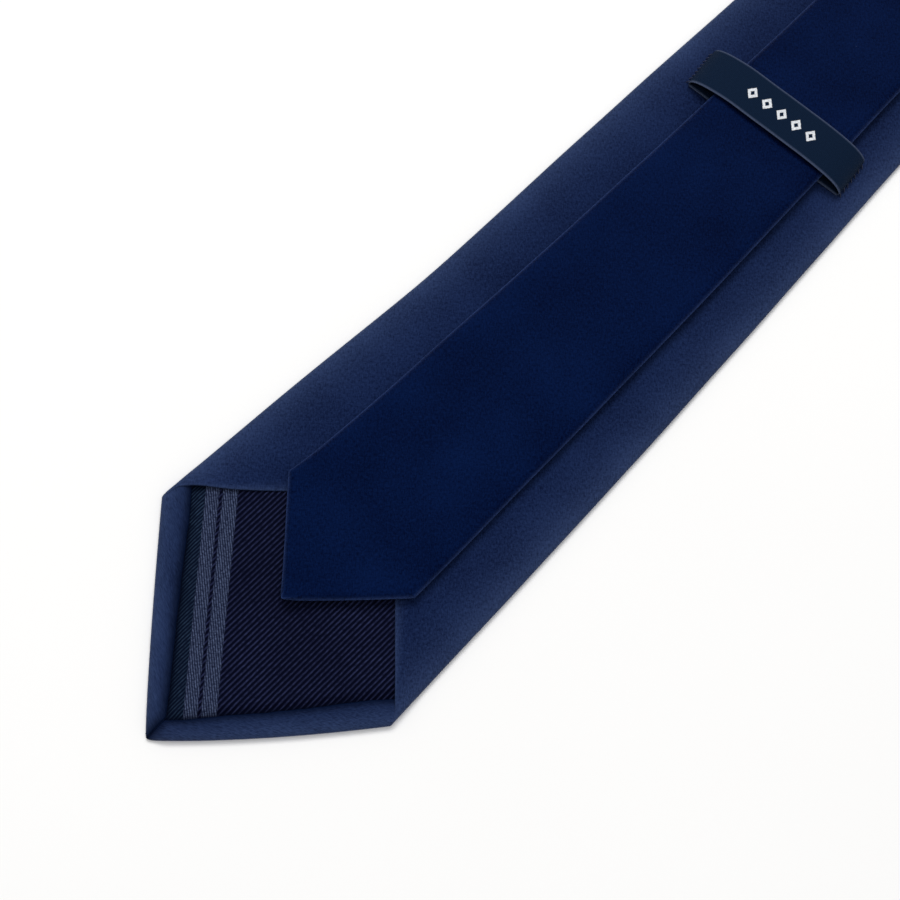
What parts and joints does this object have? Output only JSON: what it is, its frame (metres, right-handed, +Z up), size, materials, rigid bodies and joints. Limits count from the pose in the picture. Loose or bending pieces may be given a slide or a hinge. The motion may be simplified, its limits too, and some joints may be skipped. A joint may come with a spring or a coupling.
{
  "type": "necktie",
  "caption": "Navy satin necktie with striped twill tipping, folded once at the neck, its tail through the keeper loop on the back of the wide blade.",
  "frame": {"origin": "centre of the folded tie's box, at the level that it lies on", "axes": "+X from the wide tip along the blade to the neck fold, +Z up out of the back of the wide blade"},
  "size_m": [0.763, 0.08, 0.013],
  "materials": {
    "satin": "satin weave with soft sheen",
    "tipping": "matte twill with two woven stripes",
    "keeper_band": "matte woven band with a small repeated lozenge",
    "interlining": "brushed wool",
    "thread": "twisted thread",
    "label": "plain woven satin ribbon"
  },
  "bodies": {
    "wide_blade": {"wide_shell": "satin", "wide_interlining": "interlining", "wide_tipping": "tipping", "wide_slip_stitch": "thread", "wide_bar_tack": "thread", "wide_neck_seam": "satin", "neck_lower_shell": "satin", "keeper_loop": "keeper_band", "keeper_stitches": "thread"},
    "wide_tip": {"wide_tip_shell": "satin", "wide_tip_interlining": "interlining", "wide_tip_tipping": "tipping"},
    "neck_fold": {"neck_fold_shell": "satin", "neck_fold_interlining": "interlining", "neck_fold_slip_stitch": "thread"},
    "tail": {"neck_upper_shell": "satin", "tail_shell": "satin", "tail_interlining": "interlining", "tail_neck_seam": "satin", "tail_slip_stitch": "thread"},
    "tail_tip": {"tail_tip_shell": "satin", "tail_tip_interlining": "interlining", "tail_tipping": "tipping", "tail_tip_slip_stitch": "thread", "tail_bar_tack": "thread", "fibre_label": "label"}
  },
  "joints": [
    {"name": "wide_tip_lift", "type": "hinge", "parent": "wide_blade", "child": "wide_tip", "pos_m": [-0.3475, 0, 0.0027], "axis": [0, 1, 0], "range_deg": [0, 60]},
    {"name": "neck_roll", "type": "slide", "parent": "wide_blade", "child": "neck_fold", "axis": [1, 0, 0], "range_m": [-0.005, 0.01]},
    {"name": "tail_slide", "type": "slide", "parent": "neck_fold", "child": "tail", "axis": [1, 0, 0], "range_m": [-0.005, 0.01]},
    {"name": "tail_tip_lift", "type": "hinge", "parent": "tail", "child": "tail_tip", "pos_m": [-0.1965, 0, 0.0073], "axis": [0, 1, 0], "range_deg": [0, 60]}
  ],
  "couplings": [
    {"joint": "neck_roll", "follows": "tail_slide", "ratio": 1}
  ]
}
